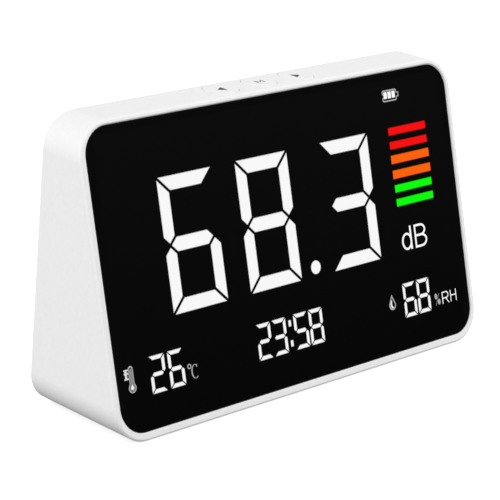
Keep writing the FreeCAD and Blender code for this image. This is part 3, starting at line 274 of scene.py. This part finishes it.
def make_materials():
    return {
        "white_abs": grained("satin_white_abs", grey(0.80), grey(0.82), (0.38, 0.48), 9000.0, 6e-6),
        "black_panel": gloss_panel(),
        "foam_tape": grained("foam", grey(0.02), grey(0.04), (0.8, 0.95), 6000.0, 4e-5),
        "reflector_white": grained(
            "light_box_white", (0.74, 0.74, 0.73), (0.8, 0.8, 0.79), (0.5, 0.6), 5000.0, 1e-5
        ),
        "circuit_board": grained(
            "solder_mask", (0.006, 0.09, 0.03), (0.012, 0.14, 0.05), (0.22, 0.34), 3000.0, 1.5e-5
        ),
        "screw_steel": grained(
            "plated_steel", (0.52, 0.52, 0.53), (0.62, 0.62, 0.63),
            (0.22, 0.36), 5000.0, 6e-6, metallic=1.0,
        ),
        "led_white": grained("phosphor", (0.85, 0.8, 0.4), (0.9, 0.86, 0.5), (0.4, 0.5), 4000.0, 8e-6),
        "chip_black": grained(
            "moulded_black", (0.012, 0.012, 0.013), (0.02, 0.02, 0.021), (0.5, 0.65), 8000.0, 1e-5
        ),
        "connector_cream": grained(
            "natural_nylon", (0.72, 0.68, 0.56), (0.78, 0.74, 0.63), (0.4, 0.5), 4000.0, 8e-6
        ),
        "bright_steel": grained(
            "nickel_shell", (0.6, 0.59, 0.57), (0.68, 0.67, 0.65),
            (0.16, 0.26), 3000.0, 3e-6, metallic=1.0,
        ),
        "capsule_aluminium": grained(
            "drawn_aluminium", (0.62, 0.62, 0.63), (0.7, 0.7, 0.71),
            (0.3, 0.42), 4000.0, 5e-6, metallic=1.0,
        ),
        "rubber_black": grained("soft_rubber", grey(0.012), grey(0.022), (0.75, 0.9), 7000.0, 2e-5),
        "battery_foil": grained(
            "pouch_foil", (0.55, 0.56, 0.57), (0.66, 0.67, 0.68),
            (0.3, 0.45), 900.0, 6e-5, metallic=1.0,
        ),
        "lead_jacket": grained(
            "lead_jacket", (0.015, 0.015, 0.016), (0.025, 0.025, 0.026), (0.45, 0.6), 6000.0, 1e-5
        ),
        "plunger_black": grained("plunger_black", grey(0.012), grey(0.02), (0.4, 0.55), 6000.0, 8e-6),
        "diffuser_white": segment("lit_white", grey(0.91), grey(0.02)),
        "diffuser_green": segment("lit_green", (0.0, 0.95, 0.0), (0.0, 0.02, 0.0)),
        "diffuser_orange": segment("lit_orange", (0.95, 0.115, 0.0), (0.02, 0.003, 0.0)),
        "diffuser_red": segment("lit_red", (0.9, 0.001, 0.001), (0.02, 0.0, 0.0)),
    }


def finish_nodes(materials):
    """Every node of the frame takes the material of its own slot."""
    for subpart in frame["record"]["subparts"]:
        piece = frame["nodes"][subpart["node"]]
        piece.data.materials.clear()
        piece.data.materials.append(materials[subpart["material_slot"]])


# ---------------------------------------------------------------- outlines of the signs
def arc(x, y, radius_x, radius_y, start, end, steps=CURVE_STEPS):
    """Points of an ellipse from one angle to another, in degrees."""
    points = []
    for step in range(steps + 1):
        angle = math.radians(start + (end - start) * step / steps)
        points.append((x + radius_x * math.cos(angle), y + radius_y * math.sin(angle)))
    return points


def oval(x, y, radius_x, radius_y):
    last = 360 - 360 / CURVE_STEPS
    return arc(x, y, radius_x, radius_y, 0, last, CURVE_STEPS - 1)


def ring(x, y, radius_x, radius_y, stroke):
    return [oval(x, y, radius_x, radius_y), oval(x, y, radius_x - stroke, radius_y - stroke)]


def rectangle(x0, x1, y0, y1):
    return [(x0, y0), (x1, y0), (x1, y1), (x0, y1)]


def band(points, width):
    """The outline of a stroke of one width along a path."""
    left, right = [], []
    for index, (x, y) in enumerate(points):
        before, after = points[max(index - 1, 0)], points[min(index + 1, len(points) - 1)]
        along = Vector((after[0] - before[0], after[1] - before[1])).normalized()
        left.append((x - along.y * width / 2, y + along.x * width / 2))
        right.append((x + along.y * width / 2, y - along.x * width / 2))
    return left + right[::-1]


def letter_d(x, y, width, height, bowl, stroke):
    """A plain lower-case d whose bowl runs into its stem."""
    stem = x + width - stroke
    middle_x, middle_y = x + width / 2, y + bowl / 2
    radius_x, radius_y = width / 2, bowl / 2
    turn = math.degrees(math.acos((stem - middle_x) / radius_x))
    outer = arc(middle_x, middle_y, radius_x, radius_y, 360 - turn, turn)
    outer += [(stem, y + height), (x + width, y + height), (x + width, y), (stem, y)]
    hole_x, hole_y = radius_x - 0.95 * stroke, radius_y - 0.9 * stroke
    hole_turn = math.degrees(math.acos(min(1.0, (stem - middle_x) / hole_x)))
    return [outer, arc(middle_x, middle_y, hole_x, hole_y, 360 - hole_turn, hole_turn)]


def bowl_hole(x0, x1, y0, y1, reach):
    """The counter of a letter's bowl: flat on its left and round on its right."""
    middle = (y0 + y1) / 2
    return [(x0, y0)] + arc(x1, middle, reach, (y1 - y0) / 2, -90, 90) + [(x0, y1)]


def letter_b(x, y, width, height, stroke, waist):
    """A plain capital B."""
    top, middle = y + height, y + waist
    upper_x, lower_x = x + 0.5 * width, x + 0.52 * width
    upper_y = (top + middle - stroke / 2) / 2
    lower_y = (y + middle + stroke / 2) / 2
    upper_reach, lower_reach = 0.43 * width, 0.48 * width
    upper_turn = math.degrees(math.asin((upper_y - middle) / (top - upper_y)))
    lower_turn = math.degrees(math.asin((middle - lower_y) / (lower_y - y)))
    outer = [(x, y), (x, top)]
    outer += arc(upper_x, upper_y, upper_reach, top - upper_y, 90, -upper_turn)
    outer += arc(lower_x, lower_y, lower_reach, lower_y - y, lower_turn, -90)
    inner = x + stroke
    holes = [
        bowl_hole(inner, upper_x, middle + stroke / 2, top - stroke, upper_reach - stroke),
        bowl_hole(inner, lower_x, y + stroke, middle - stroke / 2, lower_reach - stroke),
    ]
    return [outer] + holes


def letter_r(x, y, width, height, stroke):
    """A plain capital R with a straight leg."""
    top = y + height
    low = y + 0.42 * height
    turn_x = x + 0.6 * width
    reach = 0.36 * width
    leg = x + 0.62 * width
    outer = [(x, y), (x, top)] + arc(turn_x, (top + low) / 2, reach, (top - low) / 2, 90, -90)
    outer += [
        (leg, low), (x + width, y), (x + width - 1.15 * stroke, y),
        (leg - 1.2 * stroke, low), (x + stroke, low), (x + stroke, y),
    ]
    return [outer, bowl_hole(x + stroke, turn_x, low + stroke, top - stroke, reach - stroke)]


def letter_h(x, y, width, height, stroke):
    """A plain capital H."""
    top, middle = y + height, y + 0.53 * height
    low, high = middle - stroke / 2, middle + stroke / 2
    x1, x2, x3 = x + stroke, x + width - stroke, x + width
    return [[
        (x, y), (x, top), (x1, top), (x1, high), (x2, high), (x2, top),
        (x3, top), (x3, y), (x2, y), (x2, low), (x1, low), (x1, y),
    ]]


def letter_c(x, y, width, height, thick, thin):
    """A thin capital C with a serif at its upper end."""
    middle_x, middle_y = x + 0.62 * width, y + height / 2
    reach = middle_x - x
    upper_end, inner_upper_end, lower_end = 62, 66, 312
    outer = arc(middle_x, middle_y, reach, height / 2, upper_end, lower_end)
    inner = arc(middle_x, middle_y, reach - thick, height / 2 - thin, lower_end, inner_upper_end)
    serif = [(x + width - 0.1, y + 0.74 * height), (x + width, y + 0.97 * height)]
    return [outer + inner + serif]


def drop_outline(x, y, radius, height):
    """A round drop with straight sides up to its point."""
    middle = y + radius
    side = 90 - math.degrees(math.acos(radius / (height - radius)))
    return arc(x, middle, radius, radius, side, -180 - side) + [(x, y + height)]


def droplet(x, y, radius, height, stroke, gleam):
    """A drop with a hollow at its right, and the bright band that fills a gap beside the hollow."""
    inner = drop_outline(x, y + stroke, radius - stroke, height - 2.75 * stroke)
    hollow_low = y + 0.85
    side = [point for point in inner[:-1] if point[0] > x and point[1] > hollow_low]
    edge = [
        (0.75, 0.8), (0.45, 0.82), (0.2, 1.05), (-0.05, 1.4), (-0.15, 1.75),
        (-0.1, 2.3), (0.0, 2.75), (-0.1, 3.1), (-0.3, 3.4), (-0.24, 3.7), (-0.05, 3.9),
    ]
    path = [(-0.25, 2.75), (-0.38, 2.3), (-0.4, 1.75), (-0.3, 1.3), (-0.1, 0.95), (0.15, 0.7)]
    hollow = side + [(x + across, y + up) for across, up in edge]
    gap = band([(x + across, y + up) for across, up in path], gleam)
    return [drop_outline(x, y, radius, height), hollow, gap], [gap]


def battery(x, y, width, height, stroke, nub):
    """A battery's outline as one stroke, open at its left end and with a nub at its right end."""
    half, cut, flare = stroke / 2, 0.3, 0.5
    left, high, middle = x + half, y + height - half, y + height / 2
    wall, end, reach = x + width - nub - half, x + width - half, 0.17 * height
    upper = [
        (left + flare, middle + half), (left, middle + half + flare), (left, high - cut),
        (left + cut, high), (wall - cut, high), (wall, high - cut), (wall, middle + reach),
        (end, middle + reach),
    ]
    lower = [(across, 2 * middle - up) for across, up in upper[::-1]]
    return [band(upper + lower, stroke)]


def battery_cells(x, y, width, height, gap):
    cell = (width - (BATTERY_CELLS - 1) * gap) / BATTERY_CELLS
    starts = [x + step * (cell + gap) for step in range(BATTERY_CELLS)]
    return [rectangle(start, start + cell, y, y + height) for start in starts]


def bulb_outline(x, y, bulb, stem, height):
    """A thermometer: a round bulb with a round-topped stem."""
    turn = math.degrees(math.asin(stem / bulb))
    middle = y + bulb
    low = arc(x, middle, bulb, bulb, 90 - turn, -270 + turn)
    return low + arc(x, y + height - stem, stem, stem, 180, 0)


def triangle(x, y, length, height):
    """A triangle that points to -X for a negative length, centred on x and y."""
    return [(x + length / 2, y), (x - length / 2, y + height / 2), (x - length / 2, y - height / 2)]


def scale_bars(x0, x1, spine0, spine1, bars):
    """Three bars, each given by its lower and upper edge, with a spine between them."""
    (low, low_top), (mid, mid_top), (high, top) = bars
    left = [(x0, top), (x0, high), (spine0, high), (spine0, mid_top), (x0, mid_top), (x0, mid)]
    left += [(spine0, mid), (spine0, low_top), (x0, low_top), (x0, low)]
    right = [(x1, low), (x1, low_top), (spine1, low_top), (spine1, mid), (x1, mid), (x1, mid_top)]
    return left + right + [(spine1, mid_top), (spine1, high), (x1, high), (x1, top)]


def letter_m(x, y, width, height, stroke):
    """A plain capital M as one stroke."""
    half = stroke / 2
    left, right, top = x + half, x + width - half, y + height
    return [band([(left, y), (left, top - half), (x + width / 2, y + 0.2 * height),
                  (right, top - half), (right, y)], stroke)]


# ---------------------------------------------------------------- making a sign
def sign(name, outlines, place, body, material):
    """A thin solid of these outlines, in millimetres, where an outline inside another is a hole."""
    curve = bpy.data.curves.new(name, "CURVE")
    curve.dimensions = "2D"
    curve.fill_mode = "BOTH"
    curve.extrude = (SIGN_BELOW + SIGN_PROUD) / 2
    for outline in outlines:
        spline = curve.splines.new("POLY")
        spline.points.add(len(outline) - 1)
        spline.use_cyclic_u = True
        for point, (x, y) in zip(spline.points, outline):
            point.co = (x, y, 0, 1)
    draft = bpy.data.objects.new(name + "_draft", curve)
    bpy.context.scene.collection.objects.link(draft)
    bpy.context.view_layer.update()
    mesh = bpy.data.meshes.new_from_object(draft.evaluated_get(bpy.context.evaluated_depsgraph_get()))
    bpy.data.objects.remove(draft)
    lift = Matrix.Translation((0, 0, (SIGN_PROUD - SIGN_BELOW) / 2))
    mesh.transform(place @ Matrix.Scale(MM, 4) @ lift)
    mesh.name = name
    shell = bmesh.new()
    shell.from_mesh(mesh)
    bmesh.ops.remove_doubles(shell, verts=shell.verts, dist=WELD_DISTANCE)
    bmesh.ops.recalc_face_normals(shell, faces=shell.faces)
    shell.to_mesh(mesh)
    shell.free()
    mesh.materials.clear()
    mesh.materials.append(material)
    piece = bpy.data.objects.new(name, mesh)
    bpy.context.scene.collection.objects.link(piece)
    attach(piece, body)


def display_signs():
    """Signs on the front: x from its centre and y up its slope from the base."""
    white = lit("sign_white", grey(0.93), grey(0.03))
    light = lit("sign_light", grey(0.64), grey(0.04))
    mid_grey = lit("sign_grey", grey(0.37), grey(0.04))
    dim = lit("sign_dim", grey(0.24), grey(0.03))
    drop, gleam = droplet(37.86, 15.78, 1.46, 4.78, 0.36, 0.36)
    fluid = drop_outline(-67.72, 15.16, 0.48, 1.45)
    signs = {
        "decibel_sign": (white, letter_d(45.35, 32.6, 4.55, 7.25, 5.35, 0.74)
                         + letter_b(51.25, 32.56, 5.5, 7.2, 0.68, 3.77)),
        "battery_sign": (mid_grey, battery(44.2, 78.58, 7.3, 3.57, 0.4, 0.9)),
        "battery_cells_sign": (white, battery_cells(44.9, 79.5, 4.95, 2.05, 0.36)),
        "degree_sign": (mid_grey, ring(-46.47, 16.93, 0.74, 0.74, 0.32)),
        "celsius_sign": (mid_grey, letter_c(-45.95, 13.1, 2.35, 4.07, 0.44, 0.16)),
        "percent_sign": (mid_grey, [oval(57.6, 16.03, 0.58, 0.92), oval(58.88, 14.17, 0.62, 0.88)]),
        "percent_slash": (dim, [band([(57.3, 13.2), (59.1, 16.8)], 0.18)]),
        "humidity_sign": (white, letter_r(60.4, 13.1, 3.15, 3.75, 0.34)
                          + letter_h(64.25, 13.15, 2.8, 3.65, 0.32)),
        "droplet_sign": (mid_grey, drop),
        "droplet_gleam": (white, gleam),
        "thermometer_sign": (mid_grey, [
            bulb_outline(THERMOMETER_X, 14.22, 1.38, 0.86, 7.55),
            bulb_outline(THERMOMETER_X, 14.56, 1.04, 0.56, 6.75),
        ]),
        "thermometer_column": (dim, [bulb_outline(THERMOMETER_X, 14.7, 0.9, 0.42, 6.3), fluid]),
        "thermometer_bulb": (white, [fluid]),
        "thermometer_scale": (light, [
            scale_bars(-70.15, -68.65, -69.85, -69.1, ((18.17, 18.6), (19.62, 20.15), (20.6, 21.05))),
        ]),
    }
    for name, (material, outlines) in signs.items():
        sign(name, outlines, PANEL_FRAME, "case", material)


def button_signs():
    """Signs on the buttons: x and y from the middle of each button's top."""
    ink = grained("sign_ink", grey(0.01), grey(0.014), (0.5, 0.6), 8000.0, 4e-6)
    pale_ink = grained("pale_sign_ink", grey(0.02), grey(0.026), (0.5, 0.6), 8000.0, 4e-6)
    shapes = {
        "previous": ([triangle(-0.4, -0.5, -2.6, 3.4)], ink),
        "mode": (letter_m(-1.15, -0.9, 3.0, 2.4, 0.52), pale_ink),
        "next": ([triangle(-0.2, -0.5, 2.5, 3.45)], ink),
    }
    for key, (outlines, material) in shapes.items():
        low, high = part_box(key + "_button")
        middle = (low + high) / 2
        place = Matrix.Translation((middle.x, middle.y, high.z))
        sign(key + "_sign", outlines, place, key + "_key", material)


# ---------------------------------------------------------------- floor, light and camera
def make_floor():
    material = grained("pale_floor", grey(0.86), grey(0.88), (0.6, 0.7), 40.0, 1e-5, specular=0.1)
    shader = material.node_tree.nodes["Principled BSDF"]
    shader.inputs["Emission Color"].default_value = (1, 1, 1, 1)
    shader.inputs["Emission Strength"].default_value = FLOOR_GLOW
    bpy.ops.mesh.primitive_circle_add(
        vertices=FLOOR_SIDES, radius=FLOOR_RADIUS, fill_type="NGON", location=(0, 0, 0)
    )
    floor = bpy.context.object
    floor.name = "floor"
    floor.visible_diffuse = False
    floor.visible_glossy = False
    floor.data.materials.append(material)


def area_light(name, place, aim, size, power):
    light = bpy.data.lights.new(name, "AREA")
    light.shape = "DISK"
    light.size = size
    light.energy = power
    lamp = bpy.data.objects.new(name, light)
    lamp.location = place
    lamp.rotation_euler = (aim - place).to_track_quat("-Z", "Y").to_euler()
    bpy.context.scene.collection.objects.link(lamp)


def make_studio():
    """Soft light from above and all round, and a dark flag where the display front mirrors the sky."""
    world = bpy.data.worlds.new("studio")
    world.use_nodes = True
    background = world.node_tree.nodes["Background"]
    direction = add(world, "ShaderNodeTexCoord").outputs["Generated"]
    height = add(world, "ShaderNodeSeparateXYZ")
    join(world, direction, height.inputs["Vector"])
    share = add(world, "ShaderNodeMapRange")
    share.inputs["From Min"].default_value = -1
    join(world, height.outputs["Z"], share.inputs["Value"])
    sky = add(world, "ShaderNodeValToRGB")
    sky.color_ramp.elements[1].position = SKY_HORIZON_AT
    sky.color_ramp.elements[0].position = SKY_BELOW_AT
    sky.color_ramp.elements.new(SKY_LOW_AT)
    for element, share_of_sky in zip(sky.color_ramp.elements, (SKY_BELOW, SKY_LOW, SKY_HORIZON)):
        element.color = (*grey(share_of_sky), 1)
    join(world, share.outputs["Result"], sky.inputs["Fac"])
    join(world, sky.outputs["Color"], background.inputs["Color"])
    toward_flag = add(world, "ShaderNodeVectorMath", operation="DOT_PRODUCT")
    toward_flag.inputs[1].default_value = FLAG_DIRECTION
    join(world, direction, toward_flag.inputs[0])
    flag = add(world, "ShaderNodeMapRange", interpolation_type="SMOOTHSTEP")
    flag.inputs["From Min"].default_value = math.cos(FLAG_OUTER)
    flag.inputs["From Max"].default_value = math.cos(FLAG_INNER)
    flag.inputs["To Min"].default_value = SKY_STRENGTH
    flag.inputs["To Max"].default_value = FLAG_STRENGTH
    join(world, toward_flag.outputs["Value"], flag.inputs["Value"])
    join(world, flag.outputs["Result"], background.inputs["Strength"])
    bpy.context.scene.world = world
    area_light("key", KEY_PLACE, KEY_AIM, KEY_SIZE, KEY_POWER)
    area_light("fill", FILL_PLACE, FILL_AIM, FILL_SIZE, FILL_POWER)


def make_camera():
    camera = bpy.data.cameras.new("camera")
    camera.lens = LENS
    camera.sensor_width = SENSOR
    camera.clip_start = CLIP_START
    camera.clip_end = CLIP_END
    holder = bpy.data.objects.new("camera", camera)
    up = CAMERA_RIGHT.cross(CAMERA_FORWARD)
    turn = Matrix((CAMERA_RIGHT, up, -CAMERA_FORWARD)).transposed().to_4x4()
    holder.matrix_world = Matrix.Translation(CAMERA_PLACE) @ turn
    bpy.context.scene.collection.objects.link(holder)
    bpy.context.scene.camera = holder


finish_nodes(make_materials())
display_signs()
button_signs()
make_floor()
make_studio()
make_camera()
bpy.context.scene.view_settings.view_transform = "Standard"
